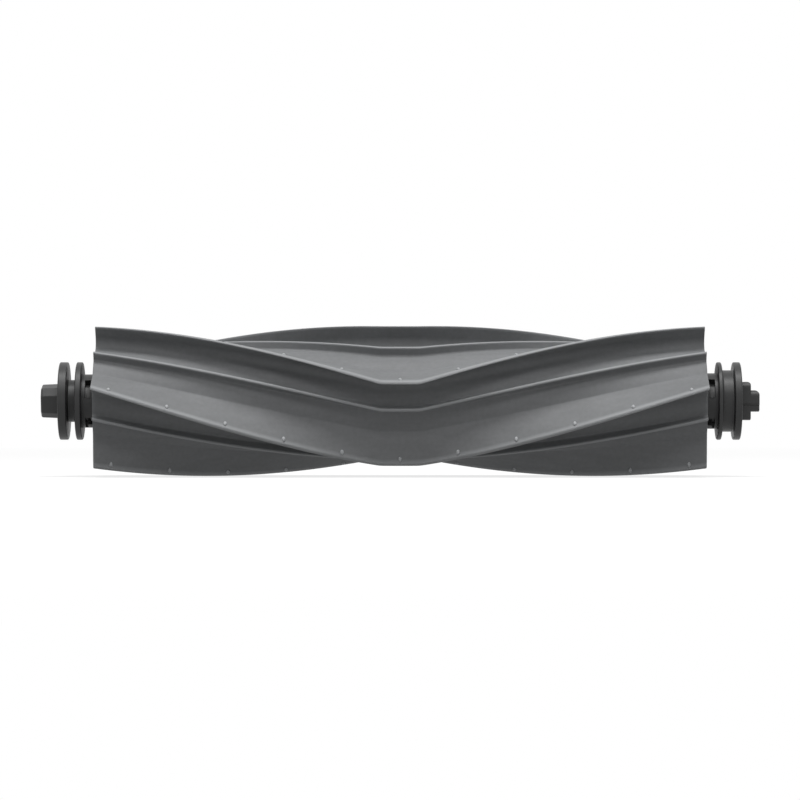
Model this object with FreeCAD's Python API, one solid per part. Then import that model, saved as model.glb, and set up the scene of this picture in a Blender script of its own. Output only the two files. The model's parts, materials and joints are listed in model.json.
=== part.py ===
"""Robot vacuum roller brush: a finned rubber sleeve on a hollow core, with twist-off end caps.

Millimetres. The roller's axis is X and the origin is the middle of the sleeve on that axis. The drive
peg points to -X and the bearing seat to +X. An angle round the axis is counted from -Y (the front)
upwards towards +Z.
"""

import FreeCAD, Part
import math
import os
from collections import namedtuple

from FreeCAD import Vector

# Rubber sleeve
sleeve_length = 162.2
tip_diameter = 40.0
base_diameter = 27.2
sleeve_wall = 2.1

# Tall blades: they lean back from their roots and run in a chevron with a short straight middle
blade_count = 5
blade_tip_thickness = 1.0
blade_root_thickness = 1.65
blade_lean_deg = 19.0
blade_middle_deg = 13.5
blade_twist_deg = 68.0
blade_front_fillet = 2.2
blade_back_fillet = 1.0
straight_middle = 10.4
helix_section_count = 8

# Low ribs: one in front of each blade, standing straight out
rib_height = 2.4
rib_tip_thickness = 0.8
rib_root_thickness = 1.1
rib_middle_deg = -8.9
rib_twist_deg = 63.0
rib_root_fillet = 0.7

# Core tube and the keys that turn the sleeve
core_wall = 2.0
bond_gap = 0.05
core_key_count = 4
core_key_width = 2.4
core_key_height = 0.8

# End plugs in the core
plug_skirt_length = 8.0
plug_skirt_wall = 1.6
plug_end_wall = 2.6
plug_key_count = 2
plug_key_width = 1.8
plug_key_height = 0.7
spigot_wall = 1.3

# Bayonet between the plugs and the end caps
cap_face_gap = 0.25
spigot_clearance = 0.12
lug_count = 4
lug_width_deg = 20.0
lug_length = 0.75
lug_first_deg = 16.7
lug_side_play_deg = 0.7
lock_overlap_deg = 2.3
lip_thickness = 0.75
lip_clearance = 0.1
slot_back_gap = 0.65
entry_width_deg = 22.0

# Ball bearing in the right-hand cap
bearing_bore_diameter = 4.0
bearing_outer_diameter = 11.0
bearing_width = 4.0
ball_diameter = 1.9
ball_count = 7
race_gap = 0.05
ring_land = 0.75
shield_thickness = 0.25
shield_inset = 0.15
shield_gap = 0.15
cage_width = 2.4
cage_thickness = 0.8
bearing_fit = 0.01
bearing_lip_thickness = 0.95
bearing_lip_radius = 4.2

# Seat that stays still in the machine
seat_pin_fit = 0.01
seat_gap = 0.3
seat_boss_radius = 2.7
seat_block_height = 10.2
seat_block_depth = 9.4
seat_block_length = 2.35
seat_corner_radius = 1.6
seat_end_round = 0.25
block_top_round = 0.9
tongue_top_round = 1.3
tongue_height = 5.7
tongue_length = 2.3
key_step_below_axis = 0.55
key_step_depth = 0.7
key_step_slope = 0.7
pin_seat_depth = 2.2
washer_thickness = 0.3
washer_radius = 2.8
clip_thickness = 0.4
clip_radius = 3.4
clip_mouth_width = 2.2
clip_groove_depth = 0.4
clip_groove_play = 0.04
pin_end_length = 0.7

# Square drive peg
peg_width = 8.4
peg_length = 4.9
peg_corner_cut = 1.8
peg_draft_deg = 2.5
peg_face_deg = -14.0
peg_edge_round = 0.55
hub_relief_wall = 2.2

# End caps: each is a collar, an inner flange, a groove round a hub and an outer flange, going outwards
flange_radius = 10.35
collar_wall = 1.6
rim_round = 0.3
groove_fillet = 0.4
drive_collar_radius = 7.1
drive_collar_length = 3.15
drive_inner_flange = 1.6
drive_groove_width = 2.25
drive_hub_radius = 5.6
drive_outer_flange = 2.25
bearing_collar_radius = 7.4
bearing_collar_length = 3.0
bearing_inner_flange = 1.15
bearing_groove_width = 3.15
bearing_hub_radius = 8.2
bearing_outer_flange = 1.9

Spool = namedtuple("Spool", "collar_radius collar_length inner_flange groove hub_radius outer_flange")
drive_spool = Spool(
    drive_collar_radius,
    drive_collar_length,
    drive_inner_flange,
    drive_groove_width,
    drive_hub_radius,
    drive_outer_flange,
)
bearing_spool = Spool(
    bearing_collar_radius,
    bearing_collar_length,
    bearing_inner_flange,
    bearing_groove_width,
    bearing_hub_radius,
    bearing_outer_flange,
)

# How far a cutter or a joined root runs past the face it crosses
overshoot = 1.0

# Values that follow from the sizes above
axis_x = Vector(1, 0, 0)
origin = Vector(0, 0, 0)
pitch_deg = 360.0 / blade_count
tip_radius = tip_diameter / 2
base_radius = base_diameter / 2
rib_radius = base_radius + rib_height
sleeve_bore = base_radius - sleeve_wall
sleeve_end = sleeve_length / 2
core_radius = sleeve_bore - bond_gap
core_bore = core_radius - core_wall
collar_start = sleeve_end + cap_face_gap
lip_end = collar_start + lip_thickness
lug_start = lip_end + lip_clearance
lug_end = lug_start + lug_length
slot_end = lug_end + slot_back_gap
unlock_deg = (lug_width_deg + entry_width_deg) / 2 + lock_overlap_deg


def at(x, radius, angle_deg):
    """Point at a distance along the axis, a radius and an angle round it."""
    angle = math.radians(angle_deg)
    return Vector(x, -radius * math.cos(angle), radius * math.sin(angle))


def polygon_face(points):
    return Part.Face(Part.makePolygon(points + [points[0]]))


def turned(outline):
    """Solid of revolution round the axis from (x, radius) corners."""
    face = polygon_face([Vector(x, 0, radius) for x, radius in outline])
    return face.revolve(origin, axis_x, 360)


def sector(x0, x1, inner, outer, low_deg, high_deg):
    """Part of a thick ring between two angles."""
    outline = [(x0, inner), (x1, inner), (x1, outer), (x0, outer)]
    face = polygon_face([at(x, radius, low_deg) for x, radius in outline])
    return face.revolve(origin, -axis_x, high_deg - low_deg)


def ring(x0, x1, inner, outer):
    return turned([(x0, inner), (x1, inner), (x1, outer), (x0, outer)])


def rod(x0, x1, radius):
    return Part.makeCylinder(radius, abs(x1 - x0), Vector(min(x0, x1), 0, 0), axis_x)


def twist_share(x):
    """Share of the full twist at a distance along the sleeve: none in the straight middle, then even."""
    past = abs(x) - straight_middle / 2
    return max(past, 0.0) / (sleeve_end - straight_middle / 2)


def polar(radius, angle_deg):
    """Point of a section, as a vector in the plane of the section."""
    angle = math.radians(angle_deg)
    return Vector(radius * math.cos(angle), radius * math.sin(angle), 0)


def root_fillet(tip, root, radius, side):
    """Arc that joins the line tip to root with the base circle: its point on the line, its middle and
    its point on the circle. Side is 1 where the open side is on the left of that line, else -1."""
    along = (root - tip).normalize()
    across = Vector(-along.y, along.x, 0) * side
    start = tip + across * radius
    half = start.dot(along)
    distance = -half - math.sqrt(half**2 - start.dot(start) + (base_radius + radius) ** 2)
    centre = start + along * distance
    on_line = tip + along * distance
    on_base = centre * (base_radius / (base_radius + radius))
    middle = centre + ((on_line - centre) + (on_base - centre)).normalize() * radius
    return on_line, middle, on_base


def fin_outline(tip_deg, tip_r, tip_thickness, root_deg, root_thickness, low_fillet, high_fillet):
    """Corners of one fin in order of rising angle: low fillet, low face, tip, high face, high fillet."""
    half_tip = math.degrees(tip_thickness / 2 / tip_r)
    half_root = math.degrees(root_thickness / 2 / base_radius)
    low_tip = polar(tip_r, tip_deg - half_tip)
    high_tip = polar(tip_r, tip_deg + half_tip)
    low = root_fillet(low_tip, polar(base_radius, root_deg - half_root), low_fillet, 1)
    high = root_fillet(high_tip, polar(base_radius, root_deg + half_root), high_fillet, -1)
    return low, low_tip, polar(tip_r, tip_deg), high_tip, high


def sleeve_section(x):
    """Closed outline of the finned sleeve at a distance along the axis."""
    share = twist_share(x)
    fins = []
    for number in range(blade_count):
        blade = blade_middle_deg + blade_twist_deg * share + pitch_deg * number
        root = blade + blade_lean_deg
        fins.append(
            fin_outline(
                blade,
                tip_radius,
                blade_tip_thickness,
                root,
                blade_root_thickness,
                blade_front_fillet,
                blade_back_fillet,
            )
        )
        rib = rib_middle_deg + rib_twist_deg * share + pitch_deg * (number + 1)
        fins.append(
            fin_outline(
                rib, rib_radius, rib_tip_thickness, rib, rib_root_thickness, rib_root_fillet, rib_root_fillet
            )
        )

    def place(point):
        return Vector(x, -point.x, point.y)

    def line(start, end):
        return Part.makeLine(place(start), place(end))

    def arc(start, middle, end):
        return Part.Arc(place(start), place(middle), place(end)).toShape()

    edges = []
    for fin, following in zip(fins, fins[1:] + fins[:1]):
        low, low_tip, tip, high_tip, high = fin
        base_start = high[2]
        base_end = following[0][2]
        base_middle = (base_start + base_end).normalize() * base_radius
        edges += [
            arc(low[2], low[1], low[0]),
            line(low[0], low_tip),
            arc(low_tip, tip, high_tip),
            line(high_tip, high[0]),
            arc(high[0], high[1], high[2]),
            arc(base_start, base_middle, base_end),
        ]
    return Part.Wire(edges)


def key_bars(x0, x1, count, width, inner, outer):
    """Straight bars along the axis, evenly spaced round it."""
    bar = Part.makeBox(x1 - x0, outer - inner, width, Vector(x0, inner, -width / 2))
    bars = []
    for number in range(count):
        turn = bar.copy()
        turn.rotate(origin, axis_x, 360.0 * number / count)
        bars.append(turn)
    return bars


def sleeve_span(x0, x1, sections):
    """Solid stretch of the finned skin, drawn through evenly spaced sections: two give straight sides."""
    step = (x1 - x0) / (sections - 1)
    wires = [sleeve_section(x0 + step * number) for number in range(sections)]
    return Part.makeLoft(wires, True, sections == 2)


def rubber_sleeve():
    """Sleeve with its blades and ribs: a straight middle between two opposite helixes, bored and keyed."""
    half_straight = straight_middle / 2
    middle = sleeve_span(-half_straight, half_straight, 2)
    helixes = [
        sleeve_span(-sleeve_end, -half_straight, helix_section_count),
        sleeve_span(half_straight, sleeve_end, helix_section_count),
    ]
    bore = rod(-sleeve_end - overshoot, sleeve_end + overshoot, sleeve_bore)
    keyways = key_bars(
        -sleeve_end - overshoot,
        sleeve_end + overshoot,
        core_key_count,
        core_key_width + 2 * bond_gap,
        core_bore,
        core_radius + core_key_height + bond_gap,
    )
    return middle.multiFuse(helixes).cut(bore.multiFuse(keyways))


def core_tube():
    """Hollow tube under the rubber, with keys outside for the sleeve and key slots inside for the plugs."""
    tube = rod(-sleeve_end, sleeve_end, core_radius)
    keys = key_bars(
        -sleeve_end, sleeve_end, core_key_count, core_key_width, core_bore, core_radius + core_key_height
    )
    tube = tube.multiFuse(keys).cut(rod(-sleeve_end, sleeve_end, core_bore))
    for x0 in (-sleeve_end, sleeve_end - plug_skirt_length - bond_gap):
        slots = key_bars(
            x0,
            x0 + plug_skirt_length + bond_gap,
            plug_key_count,
            plug_key_width + 2 * bond_gap,
            core_bore - overshoot,
            core_bore + plug_key_height + bond_gap,
        )
        tube = tube.cut(Part.Compound(slots))
    return tube


def spigot_radius(spool):
    return spool.collar_radius - collar_wall - spigot_clearance


def end_plug(spool, spigot_end):
    """Cup pressed into the core's end, with a hollow spigot that carries the bayonet lugs."""
    radius = core_bore - bond_gap
    spigot = spigot_radius(spool)
    hollow = spigot - spigot_wall
    inner_face = sleeve_end - plug_end_wall
    mouth = sleeve_end - plug_skirt_length
    plug = turned(
        [
            (mouth, radius - plug_skirt_wall),
            (mouth, radius),
            (sleeve_end, radius),
            (sleeve_end, spigot),
            (spigot_end, spigot),
            (spigot_end, hollow),
            (inner_face, hollow),
            (inner_face, radius - plug_skirt_wall),
        ]
    )
    key_foot = radius - plug_skirt_wall / 2
    key_top = core_bore + plug_key_height
    parts = key_bars(mouth, sleeve_end, plug_key_count, plug_key_width, key_foot, key_top)
    lug_top = spool.collar_radius - spigot_clearance / 2
    for number in range(lug_count):
        middle = lug_first_deg + 360.0 / lug_count * number
        low = middle - lug_width_deg / 2
        parts.append(sector(lug_start, lug_end, spigot - spigot_wall / 2, lug_top, low, low + lug_width_deg))
    return plug.multiFuse(parts)


def spool_ends(spool):
    """Distances along the axis where the spool's steps end, from the collar outwards."""
    inner_flange = collar_start + spool.collar_length
    groove = inner_flange + spool.inner_flange
    outer_flange = groove + spool.groove
    return inner_flange, groove, outer_flange, outer_flange + spool.outer_flange


def circles(shape, radius):
    """Edges of a shape that are whole circles of one radius."""
    round_edges = [edge for edge in shape.Edges if isinstance(edge.Curve, Part.Circle)]
    return [edge for edge in round_edges if math.isclose(edge.Curve.Radius, radius)]


def spool_body(spool):
    """Collar, two flanges and the groove between them, solid, with softened rims."""
    inner_flange, groove, outer_flange, end = spool_ends(spool)
    body = turned(
        [
            (collar_start, 0),
            (collar_start, spool.collar_radius),
            (inner_flange, spool.collar_radius),
            (inner_flange, flange_radius),
            (groove, flange_radius),
            (groove, spool.hub_radius),
            (outer_flange, spool.hub_radius),
            (outer_flange, flange_radius),
            (end, flange_radius),
            (end, 0),
        ]
    )
    body = body.makeFillet(groove_fillet, circles(body, spool.hub_radius))
    return body.makeFillet(rim_round, circles(body, flange_radius))


def bayonet_slots(spool):
    """Cutters for the L-shaped slots in a collar: an entry from its edge and a seat beside it."""
    inner = spool.collar_radius - collar_wall - overshoot
    outer = spool.collar_radius + overshoot
    cutters = []
    for number in range(lug_count):
        middle = lug_first_deg + 360.0 / lug_count * number
        seat_low = middle - lug_width_deg / 2 - lug_side_play_deg
        entry_low = middle + unlock_deg - entry_width_deg / 2
        entry_high = entry_low + entry_width_deg
        cutters.append(sector(collar_start - overshoot, slot_end, inner, outer, entry_low, entry_high))
        cutters.append(sector(lip_end, slot_end, inner, outer, seat_low, entry_high))
    return cutters


def lies_along_axis(edge):
    return math.isclose(abs(edge.tangentAt(edge.FirstParameter).x), 1.0)


def rounded_bar(x0, x1, width, height, corner):
    """Bar along the axis with a rounded rectangular section, width across Y and height along Z."""
    half_y = width / 2
    half_z = height / 2
    box = Part.makeBox(x1 - x0, width, height, Vector(x0, -half_y, -half_z))
    long_edges = [edge for edge in box.Edges if lies_along_axis(edge)]
    return box.makeFillet(corner, long_edges)


def softened_end(solid, radius):
    """The solid with the edge of its outermost flat end rounded."""
    end_face = max(solid.Faces, key=lambda face: face.CenterOfMass.x)
    return solid.makeFillet(radius, end_face.Edges)


def cut_square(x, width):
    """Square outline across the axis with its corners cut off."""
    half = width / 2
    flat = half - peg_corner_cut
    side = [Vector(x, half, -flat), Vector(x, half, flat)]
    corners = []
    for number in range(4):
        quarter = FreeCAD.Rotation(axis_x, 90 * number)
        corners += [quarter.multVec(corner) for corner in side]
    return Part.makePolygon(corners + corners[:1])


def square_peg(x0, x1):
    """Drive peg: a square with cut corners that tapers to its end, with softened edges."""
    end_width = peg_width - 2 * peg_length * math.tan(math.radians(peg_draft_deg))
    peg = Part.makeLoft([cut_square(x0, peg_width), cut_square(x1, end_width)], True, True)
    free_edges = [edge for edge in peg.Edges if edge.BoundBox.XMax > x1 - overshoot]
    peg = peg.makeFillet(peg_edge_round, free_edges)
    peg.rotate(origin, axis_x, -peg_face_deg)
    return peg


def drive_cap():
    """Left-hand cap: bayonet collar, flanged spool and square drive peg in one moulding."""
    spool = drive_spool
    inner_flange, _, outer_flange, end = spool_ends(spool)
    overlap = spool.outer_flange / 2
    cap = spool_body(spool).fuse(square_peg(end - overlap, end + peg_length))
    collar_bore = rod(collar_start - overshoot, inner_flange, spool.collar_radius - collar_wall)
    relief = rod(collar_start - overshoot, outer_flange, spool.hub_radius - hub_relief_wall)
    cap = cap.cut(collar_bore.fuse(relief))
    return cap.cut(Part.Compound(bayonet_slots(spool)))


def bearing_places():
    """Start and end of the ball bearing along the axis: it seats on the cap's outer lip."""
    end = spool_ends(bearing_spool)[3] - bearing_lip_thickness
    return end - bearing_width, end


def bearing_cap():
    """Right-hand cap: bayonet collar and flanged spool, hollow for the ball bearing."""
    spool = bearing_spool
    start, end = bearing_places()
    outer_end = spool_ends(spool)[3]
    pocket = rod(start, end, bearing_outer_diameter / 2 + bearing_fit)
    collar_bore = rod(collar_start - overshoot, start, spool.collar_radius - collar_wall)
    lip_bore = rod(end - overshoot, outer_end + overshoot, bearing_lip_radius)
    cap = spool_body(spool).cut(pocket.multiFuse([collar_bore, lip_bore]))
    return cap.cut(Part.Compound(bayonet_slots(spool)))


bearing_start, bearing_end = bearing_places()
bearing_middle = (bearing_start + bearing_end) / 2
pitch_radius = (bearing_bore_diameter + bearing_outer_diameter) / 4
race_radius = ball_diameter / 2 + race_gap
rebate_depth = shield_inset + shield_thickness


def race():
    return Part.makeTorus(pitch_radius, race_radius, Vector(bearing_middle, 0, 0), axis_x)


def bearing_outer_ring():
    """Outer ring with a ball groove and a rebate at each side for a shield."""
    outer = bearing_outer_diameter / 2
    body = ring(bearing_start, bearing_end, pitch_radius + ring_land, outer)
    rebate_radius = pitch_radius + ring_land + shield_thickness
    rebates = [
        rod(bearing_start - overshoot, bearing_start + rebate_depth, rebate_radius),
        rod(bearing_end - rebate_depth, bearing_end + overshoot, rebate_radius),
    ]
    return body.cut(race()).cut(Part.Compound(rebates))


def bearing_inner_ring():
    """Inner ring with a ball groove."""
    body = ring(bearing_start, bearing_end, bearing_bore_diameter / 2, pitch_radius - ring_land)
    return body.cut(race())


def bearing_shields():
    """Two thin washers that close the bearing's sides."""
    inner = pitch_radius - ring_land + shield_gap
    outer = pitch_radius + ring_land + shield_thickness - bearing_fit
    left = bearing_start + shield_inset
    right = bearing_end - shield_inset
    inner_side = ring(left, left + shield_thickness, inner, outer)
    outer_side = ring(right - shield_thickness, right, inner, outer)
    return Part.Compound([inner_side, outer_side])


def ball_centre(number):
    return at(bearing_middle, pitch_radius, 360.0 * number / ball_count)


def bearing_balls():
    radius = ball_diameter / 2
    return Part.Compound([Part.makeSphere(radius, ball_centre(number)) for number in range(ball_count)])


def ball_cage():
    """Ring with a pocket for each ball."""
    cage = ring(
        bearing_middle - cage_width / 2,
        bearing_middle + cage_width / 2,
        pitch_radius - cage_thickness / 2,
        pitch_radius + cage_thickness / 2,
    )
    pockets = [Part.makeSphere(race_radius, ball_centre(number)) for number in range(ball_count)]
    return cage.cut(Part.Compound(pockets))


seat_face = spool_ends(bearing_spool)[3] + seat_gap
block_end = seat_face + seat_block_length
tongue_end = block_end + tongue_length
washer_start = bearing_start - washer_thickness
clip_start = washer_start - clip_thickness
pin_start = clip_start - pin_end_length
pin_end = seat_face + pin_seat_depth
pin_radius = bearing_bore_diameter / 2 - seat_pin_fit


def seat_bar(end, height, top_round):
    """Bar of the seat from its face outwards, with a soft end edge and a rounded upper end."""
    bar = rounded_bar(seat_face, end, seat_block_depth, height, seat_corner_radius)
    corner = Vector(end - top_round, -seat_block_depth / 2 - overshoot, height / 2 - top_round)
    across = seat_block_depth + 2 * overshoot
    waste = Part.makeBox(top_round + overshoot, across, top_round + overshoot, corner)
    waste = waste.cut(Part.makeCylinder(top_round, across, corner, Vector(0, 1, 0)))
    return softened_end(bar, seat_end_round).cut(waste)


def seat_block():
    """Still end piece: a shouldered block with a tongue, both stepped back below the axis in front."""
    block = seat_bar(block_end, seat_block_height, block_top_round)
    tongue = seat_bar(tongue_end, tongue_height, tongue_top_round)
    front = -seat_block_depth / 2
    step_top = -key_step_below_axis
    step_x = seat_face - overshoot
    profile = [
        Vector(step_x, front - overshoot, step_top),
        Vector(step_x, front, step_top),
        Vector(step_x, front + key_step_depth, step_top - key_step_slope),
        Vector(step_x, front + key_step_depth, -seat_block_height),
        Vector(step_x, front - overshoot, -seat_block_height),
    ]
    step = polygon_face(profile).extrude(axis_x * (tongue_end - step_x + overshoot))
    boss = rod(bearing_end, seat_face + overshoot, seat_boss_radius)
    bore = rod(bearing_end - overshoot, pin_end, pin_radius)
    return block.fuse(tongue).cut(step).fuse(boss).cut(bore)


def seat_pin():
    """Steel pin through the bearing, with a groove for the clip."""
    groove_radius = pin_radius - clip_groove_depth
    groove = ring(clip_start - clip_groove_play, washer_start, groove_radius, pin_radius + overshoot)
    return rod(pin_start, pin_end, pin_radius).cut(groove)


def retaining_clip():
    """Open snap ring in the pin's groove."""
    inner = pin_radius - clip_groove_depth + clip_groove_play
    clip = ring(clip_start, washer_start, inner, clip_radius)
    mouth = Part.makeBox(
        clip_thickness + 2 * overshoot,
        clip_radius + overshoot,
        clip_mouth_width,
        Vector(clip_start - overshoot, 0, -clip_mouth_width / 2),
    )
    return clip.cut(mouth)


def thrust_washer():
    return ring(washer_start, bearing_start, pin_radius + seat_pin_fit, washer_radius)


def mirrored(shape):
    """The same shape at the other end of the roller."""
    return shape.mirror(origin, axis_x)


drive_spigot_end = spool_ends(drive_spool)[0] - cap_face_gap
bearing_spigot_end = clip_start - cap_face_gap - pin_end_length

parts = {
    "rubber_sleeve": rubber_sleeve(),
    "core_tube": core_tube(),
    "drive_end_plug": mirrored(end_plug(drive_spool, drive_spigot_end)),
    "bearing_end_plug": end_plug(bearing_spool, bearing_spigot_end),
    "drive_cap": mirrored(drive_cap()),
    "bearing_cap": bearing_cap(),
    "bearing_outer_ring": bearing_outer_ring(),
    "bearing_inner_ring": bearing_inner_ring(),
    "bearing_shields": bearing_shields(),
    "bearing_balls": bearing_balls(),
    "ball_cage": ball_cage(),
    "seat_block": seat_block(),
    "seat_pin": seat_pin(),
    "retaining_clip": retaining_clip(),
    "thrust_washer": thrust_washer(),
}

os.makedirs("parts", exist_ok=True)
for name, shape in parts.items():
    shape.exportStep(os.path.join("parts", name + ".step"))
    box = shape.BoundBox
    print(
        f"{name}: valid {shape.isValid()}, {len(shape.Solids)} solid(s), {shape.Volume:.1f} mm3, "
        f"x {box.XMin:.2f} to {box.XMax:.2f}"
    )
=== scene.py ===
"""Dressed model of a robot vacuum roller brush: rubber chevron blades on a core, black end caps.

Metres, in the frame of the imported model: X is the roller's axis, the front is towards -Y, +Z is up.
An angle round the axis is counted from the front upwards, so a point of a section is the complex number
u + iv with u towards the front and v upwards.
"""

import json
import math

import bpy
import numpy as np
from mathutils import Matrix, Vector
from mathutils.geometry import tessellate_polygon


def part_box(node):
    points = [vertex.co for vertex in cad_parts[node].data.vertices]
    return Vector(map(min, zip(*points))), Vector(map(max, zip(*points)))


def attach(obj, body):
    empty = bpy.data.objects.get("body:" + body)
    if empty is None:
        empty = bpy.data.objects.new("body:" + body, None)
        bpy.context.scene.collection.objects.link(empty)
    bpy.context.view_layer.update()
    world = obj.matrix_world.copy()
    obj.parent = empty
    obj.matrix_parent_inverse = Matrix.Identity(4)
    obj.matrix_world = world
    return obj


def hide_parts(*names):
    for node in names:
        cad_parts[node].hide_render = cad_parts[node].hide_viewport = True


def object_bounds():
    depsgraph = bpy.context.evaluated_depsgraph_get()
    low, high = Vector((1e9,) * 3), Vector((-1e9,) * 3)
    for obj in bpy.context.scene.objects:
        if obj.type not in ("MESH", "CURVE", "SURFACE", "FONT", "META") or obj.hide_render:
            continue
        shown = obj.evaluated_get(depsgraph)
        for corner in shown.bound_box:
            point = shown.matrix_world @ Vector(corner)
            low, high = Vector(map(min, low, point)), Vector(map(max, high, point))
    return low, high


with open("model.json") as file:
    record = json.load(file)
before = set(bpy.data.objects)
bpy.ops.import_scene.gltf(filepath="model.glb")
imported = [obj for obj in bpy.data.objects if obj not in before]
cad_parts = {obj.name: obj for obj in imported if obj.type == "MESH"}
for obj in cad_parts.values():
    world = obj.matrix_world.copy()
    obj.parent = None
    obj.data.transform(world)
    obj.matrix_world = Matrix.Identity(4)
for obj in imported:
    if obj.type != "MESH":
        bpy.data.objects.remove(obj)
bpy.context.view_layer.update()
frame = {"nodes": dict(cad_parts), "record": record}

MM = 0.001

# Sleeve, in millimetres and degrees
SLEEVE_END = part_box("rubber_sleeve")[1][0] / MM
TIP_RADIUS = 20.0
BASE_RADIUS = 13.6
BORE_RADIUS = 11.5
BLADE_COUNT = 5
BLADE_TIP_THICKNESS = 1.0
BLADE_ROOT_THICKNESS = 1.65
BLADE_LEAN = 19.0
BLADE_MIDDLE = 13.5
BLADE_TWIST = 68.0
BLADE_FRONT_FILLET = 2.2
BLADE_BACK_FILLET = 1.0
RIB_RADIUS = 16.0
RIB_TIP_THICKNESS = 0.8
RIB_ROOT_THICKNESS = 1.1
RIB_MIDDLE = -8.9
RIB_TWIST = 63.0
RIB_FILLET = 0.7
STRAIGHT_MIDDLE = 10.4
CORNER_SOFTNESS = 0.7
CORNER_SPAN = 1.5
BLADE_TIP_ROUND = 0.44
RIB_TIP_ROUND = 0.32
END_ROUND = 0.18
KEYWAY_COUNT = 4
KEYWAY_WIDTH = 2.5
KEYWAY_TOP = 12.3

# Steps of the sleeve's surface: round a section, then along the axis
FILLET_STEPS = 9
FACE_STEPS = 7
TIP_STEPS = 6
BASE_STEPS = 7
BORE_STEPS = 16
MIDDLE_ROWS = 4
CORNER_ROWS = 11
SPAN_ROWS = 65
END_ROWS = 5
SHARP_ANGLE = 38.0

# Moulding pips along the back of every blade
PIP_COUNT = 11
PIP_SPACING = 15.29
PIP_FROM_TIP = 1.35
PIP_SIZE = (0.48, 0.72, 0.42)
PIP_SIDES = 12
PIP_RINGS = 7
# The pips' paleness is a painted highlight: past 1 it mixes their colour towards pale grey.
PIP_PAINTED_HIGHLIGHT = 1.7

# Camera: places and sizes in the photograph are in its pixels
PHOTO_SIZE = 800
TIP_CIRCLE_HEIGHT = 150
AXIS_ROW = 401
CAMERA_DISTANCE = 4000
SENSOR = 36.0

# Strength of the even light that the room gives, where 1 is white
ROOM_LIGHT = 0.22

# Floor, in metres: the shadow's white surround starts at the reach and is full after the fade
FLOOR_GAP = 0.0002
FLOOR_REACH = 3.0
SHADOW_REACH = 0.2
SHADOW_FADE = 0.5


class Value:
    """A socket that takes part in Python arithmetic: each operator adds a Math node."""

    def __init__(self, shader, socket):
        self.shader = shader
        self.socket = socket

    def math(self, operation, *values):
        """Result of a new Math node."""
        node = self.shader.node("ShaderNodeMath", {"operation": operation}, dict(enumerate(values)))
        return Value(self.shader, node.outputs[0])

    def __add__(self, other):
        return self.math("ADD", self, other)

    def __radd__(self, other):
        return self.math("ADD", other, self)

    def __sub__(self, other):
        return self.math("SUBTRACT", self, other)

    def __rsub__(self, other):
        return self.math("SUBTRACT", other, self)

    def __mul__(self, other):
        return self.math("MULTIPLY", self, other)

    def __rmul__(self, other):
        return self.math("MULTIPLY", other, self)

    def __truediv__(self, other):
        return self.math("DIVIDE", self, other)

    def __rtruediv__(self, other):
        return self.math("DIVIDE", other, self)

    def clipped(self):
        """The value held between 0 and 1."""
        return self.math("MINIMUM", self.math("MAXIMUM", self, 0.0), 1.0)


class Shader:
    """The nodes of one material or of the world."""

    def __init__(self, owner):
        owner.use_nodes = True
        self.tree = owner.node_tree
        self.tree.nodes.clear()

    def node(self, kind, settings=None, sockets=None):
        """New node: its settings first, then the values or links of its sockets."""
        node = self.tree.nodes.new(kind)
        for name, setting in (settings or {}).items():
            setattr(node, name, setting)
        for key, value in (sockets or {}).items():
            if isinstance(value, Value):
                self.tree.links.new(value.socket, node.inputs[key])
            elif isinstance(value, bpy.types.NodeSocket):
                self.tree.links.new(value, node.inputs[key])
            else:
                node.inputs[key].default_value = value
        return node

    def value(self, kind, output, settings=None, sockets=None):
        """One output of a new node, ready for arithmetic."""
        return Value(self, self.node(kind, settings, sockets).outputs[output])

    def mix(self, factor, low, high):
        """Colour between two colours."""
        settings = {"data_type": "RGBA"}
        return self.node("ShaderNodeMix", settings, {0: factor, 6: low, 7: high}).outputs[2]

    def noise(self, vector, scale, detail=2.0, roughness=0.5):
        """Value between 0 and 1 that wanders from place to place."""
        sockets = {"Vector": vector, "Scale": scale, "Detail": detail, "Roughness": roughness}
        return self.value("ShaderNodeTexNoise", "Fac", None, sockets)

    def stretched(self, vector, scale):
        """Coordinates scaled along each axis."""
        settings = {"vector_type": "POINT"}
        return self.node("ShaderNodeMapping", settings, {"Vector": vector, "Scale": scale}).outputs[0]


def grey(level, warm=0.0):
    """Neutral linear colour, tinted a little towards blue where warm is negative."""
    return (level * (1 + warm), level, level * (1 - warm), 1.0)


def surface(name, build):
    """Material whose build function returns the Principled sockets, given its shader and coordinates."""
    material = bpy.data.materials.new(name)
    shader = Shader(material)
    place = shader.node("ShaderNodeTexCoord").outputs["Object"]
    sockets = build(shader, place)
    bsdf = shader.node("ShaderNodeBsdfPrincipled", None, sockets)
    shader.node("ShaderNodeOutputMaterial", None, {"Surface": bsdf.outputs[0]})
    return material


def bump(shader, height, distance, strength=1.0):
    """Normal from a height field that is in units of distance."""
    sockets = {"Height": height, "Distance": distance, "Strength": strength}
    return shader.node("ShaderNodeBump", None, sockets).outputs[0]


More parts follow.
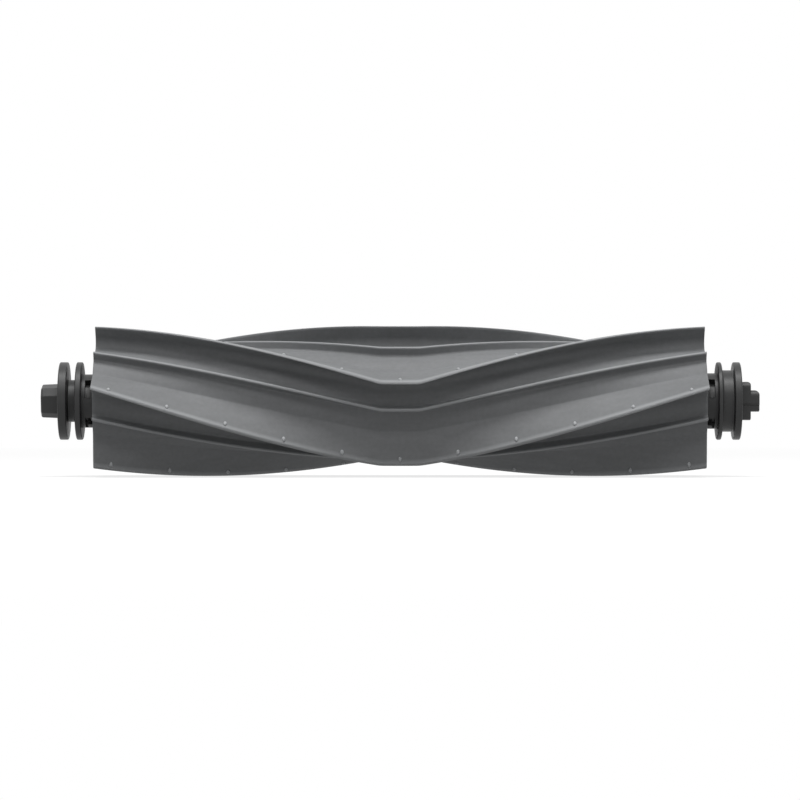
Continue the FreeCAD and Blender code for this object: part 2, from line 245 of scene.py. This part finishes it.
def blade_rubber(shader, place):
    """Matt dark grey rubber: cloudy tone, flow lines along the roller, fine grain, and painted highlights:
    paler tips on the fins and pale pips.
    """
    cloud = shader.noise(place, 45.0, 4.0, 0.55)
    flow = shader.noise(shader.stretched(place, (60.0, 420.0, 420.0)), 1.0, 3.0)
    grain = shader.noise(place, 2600.0, 2.0)
    fleck = shader.noise(place, 900.0, 1.0)
    # Painted highlight: this attribute paints the fins' rounded tips paler and the pips paler still. It
    # also makes them a little smoother.
    painted_highlight = shader.value("ShaderNodeAttribute", "Fac", {"attribute_name": "painted_highlight"})
    tone = (0.36 * cloud + 0.24 * flow + 0.16 * fleck + 0.55 * painted_highlight).clipped()
    skin = shader.mix(tone, grey(0.12, -0.025), grey(0.33, -0.025))
    return {
        # Painted highlight on the pips: where the mark passes 1, the colour goes towards pale grey.
        "Base Color": shader.mix((painted_highlight - 1.0).clipped(), skin, grey(0.5, -0.025)),
        "Roughness": 0.5 + 0.16 * grain + 0.1 * cloud - 0.08 * painted_highlight,
        "Specular IOR Level": 0.4,
        "Normal": bump(shader, 0.7 * grain + 0.5 * flow + 0.3 * fleck, 0.00003, 0.6),
    }


def cap_plastic(shader, place):
    """Satin black moulding with a fine spark-eroded grain and faint patches of polish."""
    grain = shader.noise(place, 5200.0, 2.0)
    patch = shader.noise(place, 240.0, 3.0)
    return {
        "Base Color": shader.mix(patch, grey(0.014, -0.02), grey(0.026, -0.02)),
        "Roughness": 0.34 + 0.1 * patch + 0.06 * grain,
        "Specular IOR Level": 0.4,
        "Normal": bump(shader, grain, 0.000006, 0.3),
    }


def core_plastic(shader, place):
    """Black filled moulding, a little duller than the caps, with short fibre flecks."""
    grain = shader.noise(place, 3800.0, 2.0)
    fibre = shader.noise(shader.stretched(place, (400.0, 2400.0, 2400.0)), 1.0, 2.0)
    return {
        "Base Color": shader.mix((fibre * 1.6 - 0.3).clipped(), grey(0.045), grey(0.075)),
        "Roughness": 0.42 + 0.2 * grain,
        "Normal": bump(shader, grain + 0.4 * fibre, 0.00002, 0.5),
    }


def bearing_steel(shader, place):
    """Ground steel: turning lines round the axis and a slight cloud of oil."""
    turning = shader.noise(shader.stretched(place, (30000.0, 300.0, 300.0)), 1.0, 2.0)
    oil = shader.noise(place, 500.0, 3.0)
    return {
        "Base Color": shader.mix(oil, grey(0.5), grey(0.66)),
        "Metallic": 1.0,
        "Roughness": 0.18 + 0.16 * turning + 0.08 * oil,
        "Normal": bump(shader, turning, 0.000004, 0.6),
    }


def clip_steel(shader, place):
    """Dark spring steel with a phosphate bloom."""
    bloom = shader.noise(place, 1800.0, 4.0, 0.65)
    return {
        "Base Color": shader.mix(bloom, grey(0.12), grey(0.3)),
        "Metallic": 0.85,
        "Roughness": 0.38 + 0.25 * bloom,
        "Normal": bump(shader, bloom, 0.00001, 0.5),
    }


def turn(degrees):
    """Unit complex number at an angle round the axis."""
    return np.exp(1j * np.radians(degrees))


def between(start, end, count):
    """Evenly spaced points from start to end, without the two ends."""
    return start + (end - start) * np.linspace(0, 1, count + 2)[1:-1]


def arc(centre, start, end, count):
    """Points on the short arc from start to end round a centre, both ends included."""
    sweep = np.angle((end - centre) / (start - centre))
    return centre + (start - centre) * np.exp(1j * sweep * np.linspace(0, 1, count))


def rounded_corner(before, corner, after, count):
    """Quadratic curve from before to after, drawn towards the corner between them."""
    t = np.linspace(0, 1, count)
    return (1 - t) ** 2 * before + 2 * t * (1 - t) * corner + t**2 * after


def root_arc(tip, root, radius, side):
    """Centre and ends of the arc that joins the line tip to root with the base circle: its centre is a
    radius off the line and off the circle, on the left of the line where side is 1."""
    along = (root - tip) / abs(root - tip)
    start = tip + 1j * along * side * radius
    half = (start * along.conjugate()).real
    reach = (BASE_RADIUS + radius) ** 2
    distance = -half - math.sqrt(half**2 - abs(start) ** 2 + reach)
    centre = start + along * distance
    return centre, tip + along * distance, centre * BASE_RADIUS / (BASE_RADIUS + radius)


def fin_face(tip_radius, tip_thickness, root_thickness, lean, side):
    """Tip and root of one face of a fin whose tip points along u: half a thickness to a side of the middle
    of the tip, and of the root, which lies at the lean's angle on the base circle."""
    half_tip = math.degrees(tip_thickness / 2 / tip_radius)
    half_root = math.degrees(root_thickness / 2 / BASE_RADIUS)
    tip = complex(tip_radius * turn(side * half_tip))
    root = complex(BASE_RADIUS * turn(lean + side * half_root))
    return tip, root


def fin_outline(tip_radius, tip_thickness, tip_round, root_thickness, lean, low_fillet, high_fillet):
    """Section of one fin whose tip points along u, in order of rising angle, with its painted highlight at
    each point, which is full on the rounded tip: fillet arc, straight face, rounded tip, straight face,
    fillet arc."""
    low_tip, low_root = fin_face(tip_radius, tip_thickness, root_thickness, lean, -1)
    high_tip, high_root = fin_face(tip_radius, tip_thickness, root_thickness, lean, 1)
    low_centre, low_line, low_base = root_arc(low_tip, low_root, low_fillet, 1)
    high_centre, high_line, high_base = root_arc(high_tip, high_root, high_fillet, -1)
    middle = complex(tip_radius)
    low_face = low_tip + (low_line - low_tip) / abs(low_line - low_tip) * tip_round
    high_face = high_tip + (high_line - high_tip) / abs(high_line - high_tip) * tip_round
    low_top = low_tip + (middle - low_tip) / abs(middle - low_tip) * tip_round
    high_top = high_tip + (middle - high_tip) / abs(middle - high_tip) * tip_round
    # Level 1 marks the rounded tip, where a highlight is painted into the colour.
    runs = [
        (arc(low_centre, low_base, low_line, FILLET_STEPS), 0.0),
        (between(low_line, low_face, FACE_STEPS), 0.0),
        (rounded_corner(low_face, low_tip, low_top, TIP_STEPS), 1.0),
        (np.array([middle]), 1.0),
        (rounded_corner(high_top, high_tip, high_face, TIP_STEPS), 1.0),
        (between(high_face, high_line, FACE_STEPS), 0.0),
        (arc(high_centre, high_line, high_base, FILLET_STEPS), 0.0),
    ]
    points = np.concatenate([run for run, _ in runs])
    painted_highlight = np.concatenate([np.full(len(run), level) for run, level in runs])
    return points, painted_highlight


def twist_share(x):
    """Share of the full twist at x: nothing in the straight middle, then even, with a soft corner."""
    past = np.abs(x) - STRAIGHT_MIDDLE / 2
    eased = (past + np.sqrt(past**2 + CORNER_SOFTNESS**2)) / 2
    return eased / (SLEEVE_END - STRAIGHT_MIDDLE / 2)


def blade_angle(x, number):
    """Angle of a blade's tip at x: its place in the middle, its twist there and its share of the turn."""
    return BLADE_MIDDLE + BLADE_TWIST * twist_share(x) + 360.0 / BLADE_COUNT * number


def rib_angle(x, number):
    """Angle of a rib's tip at x, in the same way."""
    return RIB_MIDDLE + RIB_TWIST * twist_share(x) + 360.0 / BLADE_COUNT * number


BLADE_OUTLINE = fin_outline(
    TIP_RADIUS,
    BLADE_TIP_THICKNESS,
    BLADE_TIP_ROUND,
    BLADE_ROOT_THICKNESS,
    BLADE_LEAN,
    BLADE_FRONT_FILLET,
    BLADE_BACK_FILLET,
)
RIB_OUTLINE = fin_outline(
    RIB_RADIUS, RIB_TIP_THICKNESS, RIB_TIP_ROUND, RIB_ROOT_THICKNESS, 0.0, RIB_FILLET, RIB_FILLET
)


def sleeve_sections(x):
    """Sections of the sleeve at every x: the fins' outlines turned to their angles, with arcs of the base
    circle between them. Rows are the places along the axis, columns the points round the section."""
    fins = []
    for number in range(BLADE_COUNT):
        fins.append((BLADE_OUTLINE, blade_angle(x, number)))
        fins.append((RIB_OUTLINE, rib_angle(x, number + 1)))
    columns = []
    painted_highlights = []
    for fin, following in zip(fins, fins[1:] + fins[:1]):
        (points, painted_highlight), angle = fin
        (next_points, _), next_angle = following
        columns.append(points[None, :] * turn(angle)[:, None])
        painted_highlights.append(painted_highlight)
        first = np.degrees(np.angle(points[-1])) + angle
        last = np.degrees(np.angle(next_points[0])) + next_angle
        sweep = (last - first) % 360.0
        steps = between(0.0, 1.0, BASE_STEPS)
        columns.append(BASE_RADIUS * turn(first[:, None] + sweep[:, None] * steps[None, :]))
        painted_highlights.append(np.zeros(len(steps)))
    return np.concatenate(columns, axis=1), np.concatenate(painted_highlights)


def drawn_in(sections, depth):
    """Each section moved inwards along its own normals."""
    along = np.roll(sections, -1, axis=1) - np.roll(sections, 1, axis=1)
    return sections + 1j * along / np.abs(along) * depth


def grid_faces(rows, columns, first):
    """Quads of a grid that closes on itself along its columns, facing outwards as rows run along +X."""
    row, column = np.meshgrid(np.arange(rows - 1), np.arange(columns), indexing="ij")
    here = row * columns + column
    beside = row * columns + (column + 1) % columns
    return np.stack([here, here + columns, beside + columns, beside], axis=-1).reshape(-1, 4) + first


def bore_loop():
    """Bore of the sleeve: a circle with a square keyway at each key, in order of rising angle."""
    half = math.degrees(math.asin(KEYWAY_WIDTH / 2 / BORE_RADIUS))
    step = 360.0 / KEYWAY_COUNT
    pieces = []
    for number in range(KEYWAY_COUNT):
        key = turn(step * number)
        notch = np.array([KEYWAY_TOP - 0.5j * KEYWAY_WIDTH, KEYWAY_TOP + 0.5j * KEYWAY_WIDTH])
        pieces.append(notch * key)
        pieces.append(BORE_RADIUS * turn(np.linspace(half, step - half, BORE_STEPS) + step * number))
    return np.concatenate(pieces)


def spread(x, section):
    """Points in space, in metres, of a section at x."""
    x = np.broadcast_to(x, section.shape)
    return np.stack([x, -section.real, section.imag], axis=-1).reshape(-1, 3) * MM


def end_faces(outer, inner, first_outer, first_inner, side):
    """Flat end between the outline and the bore, cut into triangles that face along the axis."""
    loops = [np.stack([loop.real, loop.imag, 0 * loop.real], axis=-1).tolist() for loop in (outer, inner)]
    triangles = np.array(tessellate_polygon(loops))
    flat = np.concatenate([outer, inner])[triangles]
    area = ((flat[:, 1] - flat[:, 0]).conjugate() * (flat[:, 2] - flat[:, 0])).imag
    wrong = area * side > 0
    triangles[wrong] = triangles[wrong][:, ::-1]
    number = np.concatenate([np.arange(len(outer)) + first_outer, np.arange(len(inner)) + first_inner])
    return number[triangles]


def pip_grid():
    """Pips on the backs of the blades: ellipsoids half sunk in the face, one row along each blade, with
    axes along X, down the face and out of it."""
    tip, root = fin_face(TIP_RADIUS, BLADE_TIP_THICKNESS, BLADE_ROOT_THICKNESS, BLADE_LEAN, 1)
    down = (root - tip) / abs(root - tip)
    out = -1j * down
    x = (np.arange(PIP_COUNT) - (PIP_COUNT - 1) / 2) * PIP_SPACING
    around = np.linspace(0, 2 * np.pi, PIP_SIDES, endpoint=False)
    rise = np.linspace(-np.pi / 2, np.pi / 2, PIP_RINGS + 2)[1:-1]
    ring_x = PIP_SIZE[0] * np.cos(rise)[:, None] * np.cos(around)[None, :]
    ring_down = PIP_SIZE[1] * np.cos(rise)[:, None] * np.sin(around)[None, :]
    ring_out = PIP_SIZE[2] * np.sin(rise)[:, None] * np.ones(len(around))[None, :]
    local_x = np.concatenate([[0.0], ring_x.ravel(), [0.0]])
    local = np.concatenate(
        [[-PIP_SIZE[2] * out], (ring_down * down + ring_out * out).ravel(), [PIP_SIZE[2] * out]]
    )
    seat = tip + down * PIP_FROM_TIP
    places = []
    for number in range(BLADE_COUNT):
        section = (seat + local)[None, :] * turn(blade_angle(x, number))[:, None]
        places.append(spread(x[:, None] + local_x[None, :], section))
    quads = grid_faces(len(rise), len(around), 1)[:, ::-1]
    last = len(local) - 1
    ring = np.arange(len(around))
    beside = np.roll(ring, -1)
    foot = np.stack([np.zeros_like(ring), ring + 1, beside + 1], axis=-1)
    top = np.stack([np.full_like(ring, last), beside + last - len(ring), ring + last - len(ring)], axis=-1)
    offsets = np.arange(BLADE_COUNT * PIP_COUNT) * len(local)
    all_quads = (quads[None] + offsets[:, None, None]).reshape(-1, 4)
    caps = np.concatenate([foot, top])
    all_caps = (caps[None] + offsets[:, None, None]).reshape(-1, 3)
    return np.concatenate(places), all_quads, all_caps


def mesh_object(name, points, quads, triangles, painted_highlight):
    """Object at the origin from arrays of points and faces, with its painted highlight kept as an
    attribute.
    """
    corners = np.concatenate([quads.ravel(), triangles.ravel()]).astype(np.int32)
    sizes = np.concatenate([np.full(len(quads), 4), np.full(len(triangles), 3)])
    starts = np.concatenate([[0], np.cumsum(sizes)[:-1]]).astype(np.int32)
    mesh = bpy.data.meshes.new(name)
    mesh.vertices.add(len(points))
    mesh.vertices.foreach_set("co", points.astype(np.float32).ravel())
    mesh.loops.add(len(corners))
    mesh.loops.foreach_set("vertex_index", corners)
    mesh.polygons.add(len(sizes))
    mesh.polygons.foreach_set("loop_start", starts)
    mesh.update(calc_edges=True)
    mesh.validate()
    mesh.attributes.new("painted_highlight", "FLOAT", "POINT").data.foreach_set("value", painted_highlight.astype(np.float32))
    mesh.shade_smooth()
    mesh.set_sharp_from_angle(angle=math.radians(SHARP_ANGLE))
    piece = bpy.data.objects.new(name, mesh)
    bpy.context.scene.collection.objects.link(piece)
    return piece


def rubber_sleeve():
    """Skin of sections along the axis, close together at the chevron's corners, with rounded ends."""
    quarter = np.linspace(0, np.pi / 2, END_ROWS)
    corner = STRAIGHT_MIDDLE / 2
    half = np.concatenate(
        [
            np.linspace(0, corner - CORNER_SPAN, MIDDLE_ROWS)[:-1],
            np.linspace(corner - CORNER_SPAN, corner + CORNER_SPAN, CORNER_ROWS),
            between(corner + CORNER_SPAN, SLEEVE_END - END_ROUND, SPAN_ROWS),
            SLEEVE_END - END_ROUND * (1 - np.sin(quarter)),
        ]
    )
    round_depth = END_ROUND * (1 - np.cos(quarter))
    depth_half = np.concatenate([np.zeros(len(half) - len(quarter)), round_depth])
    x = np.concatenate([-half[:0:-1], half])
    depth = np.concatenate([depth_half[:0:-1], depth_half])
    sections, painted_highlight = sleeve_sections(x)
    sections = drawn_in(sections, depth[:, None])
    rows, columns = sections.shape
    bore = bore_loop()
    skin_points = spread(x[:, None], sections)
    bore_points = spread(np.array([[-SLEEVE_END], [SLEEVE_END]]), np.stack([bore, bore]))
    first_bore = len(skin_points)
    bore_quads = grid_faces(2, len(bore), first_bore)[:, ::-1]
    triangles = np.concatenate(
        [
            end_faces(sections[0], bore, 0, first_bore, -1),
            end_faces(sections[-1], bore, (rows - 1) * columns, first_bore + len(bore), 1),
        ]
    )
    pip_points, pip_quads, pip_caps = pip_grid()
    first_pip = first_bore + len(bore_points)
    points = np.concatenate([skin_points, bore_points, pip_points])
    # Painted highlight for the mesh: full on the fins' tips, none on the bore, and past full on the pips.
    painted_pip_highlight = np.full(len(pip_points), PIP_PAINTED_HIGHLIGHT)
    painted_highlights = np.concatenate([np.tile(painted_highlight, rows), np.zeros(len(bore_points)), painted_pip_highlight])
    quads = np.concatenate([grid_faces(rows, columns, 0), bore_quads, pip_quads + first_pip])
    triangles = np.concatenate([triangles, pip_caps + first_pip])
    return mesh_object("chevron_sleeve", points, quads, triangles, painted_highlights)


def background_rays(shader):
    """1 for the rays that should see the white background: those of the camera, of gloss and of glass."""
    path = shader.node("ShaderNodeLightPath")
    names = ("Is Camera Ray", "Is Glossy Ray", "Is Transmission Ray")
    camera, glossy, through = (Value(shader, path.outputs[name]) for name in names)
    return (camera + glossy + through).clipped()


def studio_world():
    """White behind the object, and a dim even light on it."""
    world = bpy.data.worlds.new("studio")
    bpy.context.scene.world = world
    shader = Shader(world)
    strength = ROOM_LIGHT + (1.0 - ROOM_LIGHT) * background_rays(shader)
    back = shader.node("ShaderNodeBackground", None, {"Color": grey(1.0), "Strength": strength})
    shader.node("ShaderNodeOutputWorld", None, {"Surface": back.outputs[0]})


def glowing(shader, colour, strength):
    """Matt grey surface that also gives off an even light."""
    matt = shader.node("ShaderNodeBsdfDiffuse", None, {"Color": grey(colour)})
    light = shader.node("ShaderNodeEmission", None, {"Color": grey(1.0), "Strength": strength})
    return shader.node("ShaderNodeAddShader", None, {0: matt.outputs[0], 1: light.outputs[0]}).outputs[0]


def studio_floor():
    """Pale floor under the roller: white as the background but for the shadow, and dim as a light."""
    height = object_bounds()[0][2] - FLOOR_GAP
    sides = [(-1, -1), (1, -1), (1, 1), (-1, 1)]
    mesh = bpy.data.meshes.new("floor")
    mesh.from_pydata([(x * FLOOR_REACH, y * FLOOR_REACH, height) for x, y in sides], [], [(0, 1, 2, 3)])
    floor = bpy.data.objects.new("floor", mesh)
    bpy.context.scene.collection.objects.link(floor)
    material = bpy.data.materials.new("pale_floor")
    shader = Shader(material)
    place = shader.node("ShaderNodeTexCoord").outputs["Object"]
    away = shader.value("ShaderNodeVectorMath", "Value", {"operation": "LENGTH"}, {0: place})
    far = ((away - SHADOW_REACH) / SHADOW_FADE).clipped()
    dim = glowing(shader, colour=0.06, strength=0.19)
    near = glowing(shader, colour=0.35, strength=0.76)
    white = glowing(shader, colour=0.0, strength=1.0)
    bright = shader.node("ShaderNodeMixShader", None, {0: far, 1: near, 2: white})
    as_background = background_rays(shader)
    seen = shader.node("ShaderNodeMixShader", None, {0: as_background, 1: dim, 2: bright.outputs[0]})
    shader.node("ShaderNodeOutputMaterial", None, {"Surface": seen.outputs[0]})
    mesh.materials.append(material)


def soft_light(name, place, size, power):
    """Rectangular lamp at a place, facing the middle of the roller."""
    lamp = bpy.data.lights.new(name, "AREA")
    lamp.shape = "RECTANGLE"
    lamp.size, lamp.size_y = size
    lamp.energy = power
    light = bpy.data.objects.new(name, lamp)
    light.location = place
    light.rotation_euler = (-Vector(place)).to_track_quat("-Z", "Y").to_euler()
    bpy.context.scene.collection.objects.link(light)


def photo_camera():
    """Long lens level with the roller, looking along +Y, at the photograph's scale and distance."""
    pixel = 2 * TIP_RADIUS / TIP_CIRCLE_HEIGHT * MM
    camera = bpy.data.cameras.new("camera")
    camera.sensor_width = SENSOR
    camera.lens = SENSOR * CAMERA_DISTANCE / PHOTO_SIZE
    camera.clip_end = 20.0
    view = bpy.data.objects.new("camera", camera)
    view.location = (0.0, -CAMERA_DISTANCE * pixel, (AXIS_ROW - PHOTO_SIZE / 2) * pixel)
    view.rotation_euler = (math.pi / 2, 0.0, 0.0)
    bpy.context.scene.collection.objects.link(view)
    bpy.context.scene.camera = view


FINISHES = {
    "blade_rubber": surface("blade_rubber_finish", blade_rubber),
    "cap_plastic": surface("cap_plastic_finish", cap_plastic),
    "core_plastic": surface("core_plastic_finish", core_plastic),
    "bearing_steel": surface("bearing_steel_finish", bearing_steel),
    "clip_steel": surface("clip_steel_finish", clip_steel),
}
for subpart in frame["record"]["subparts"]:
    node_mesh = frame["nodes"][subpart["node"]].data
    node_mesh.materials.clear()
    node_mesh.materials.append(FINISHES[subpart["material_slot"]])

sleeve = rubber_sleeve()
sleeve.data.materials.append(FINISHES["blade_rubber"])
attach(sleeve, "roller")
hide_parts("rubber_sleeve")

studio_world()
studio_floor()
soft_light("top_softbox", place=(0.0, -0.17, 0.75), size=(0.42, 0.28), power=4.1)
soft_light("front_softbox", place=(0.0, -0.5, 0.58), size=(0.42, 0.2), power=1.2)
soft_light("front_fill", place=(0.0, -1.2, 0.12), size=(0.8, 0.25), power=0.3)
photo_camera()
bpy.context.scene.view_settings.view_transform = "Standard"
